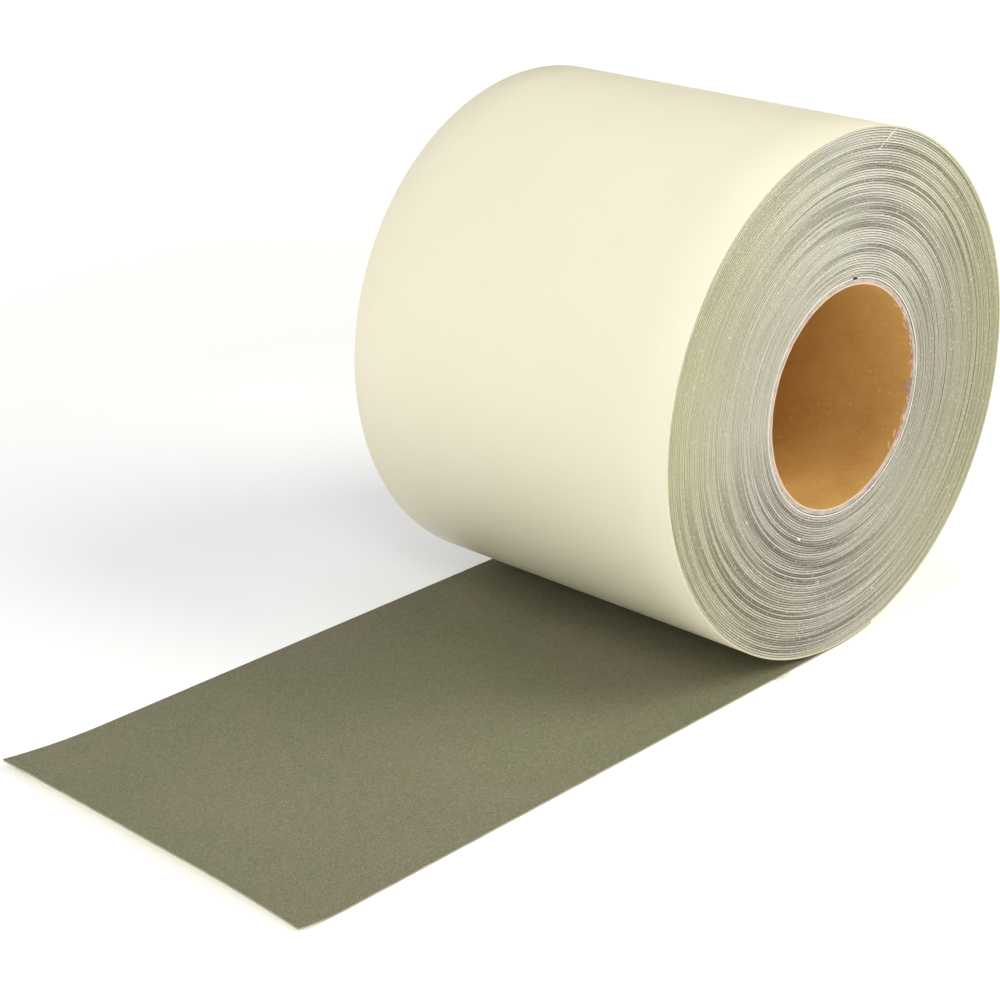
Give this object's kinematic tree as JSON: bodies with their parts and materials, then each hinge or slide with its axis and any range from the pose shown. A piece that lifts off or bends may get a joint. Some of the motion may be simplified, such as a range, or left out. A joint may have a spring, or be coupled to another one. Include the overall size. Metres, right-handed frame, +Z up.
{
  "type": "wide masking tape roll",
  "caption": "Wide, thick self-adhesive masking tape wound with its release liner outwards on a paperboard core, with a free strip pulled out flat from under the roll.",
  "frame": {"origin": "centre of the core's bore, halfway between the roll's end faces", "axes": "+Y along the bore, +Z up, and the free strip leaves the roll's lowest point towards -X"},
  "size_m": [0.3362, 0.14, 0.1809],
  "materials": {
    "kraft_paper": "smooth matt brown kraft paper",
    "core_board": "matt pinkish-brown recycled board",
    "tissue_tape": "thin translucent tissue coated with adhesive on both sides",
    "release_liner": "smooth semi-matt cream silicone-coated paper",
    "adhesive": "soft grey pressure-sensitive adhesive",
    "carrier": "pale film",
    "wound_web": "the edges of many turns, in fine cream, grey and dark lines",
    "grained_facing": "matt olive-grey with a fine even grain"
  },
  "bodies": {
    "strip": {"strip_liner": "release_liner", "strip_adhesive": "adhesive", "strip_carrier": "carrier", "strip_facing": "grained_facing"},
    "roll": {"core_inner_ply": "kraft_paper", "core_body_ply_1": "core_board", "core_body_ply_2": "core_board", "core_outer_ply": "kraft_paper", "core_start_tape": "tissue_tape", "wound_turns": "wound_web", "outer_turn_liner": "release_liner", "outer_turn_adhesive": "adhesive", "outer_turn_carrier": "carrier", "outer_turn_facing": "grained_facing"}
  },
  "joints": [
    {"name": "roll_spin", "type": "hinge", "parent": "strip", "child": "roll", "pos_m": [0, 0, 0], "axis": [0, 1, 0], "continuous": true}
  ]
}
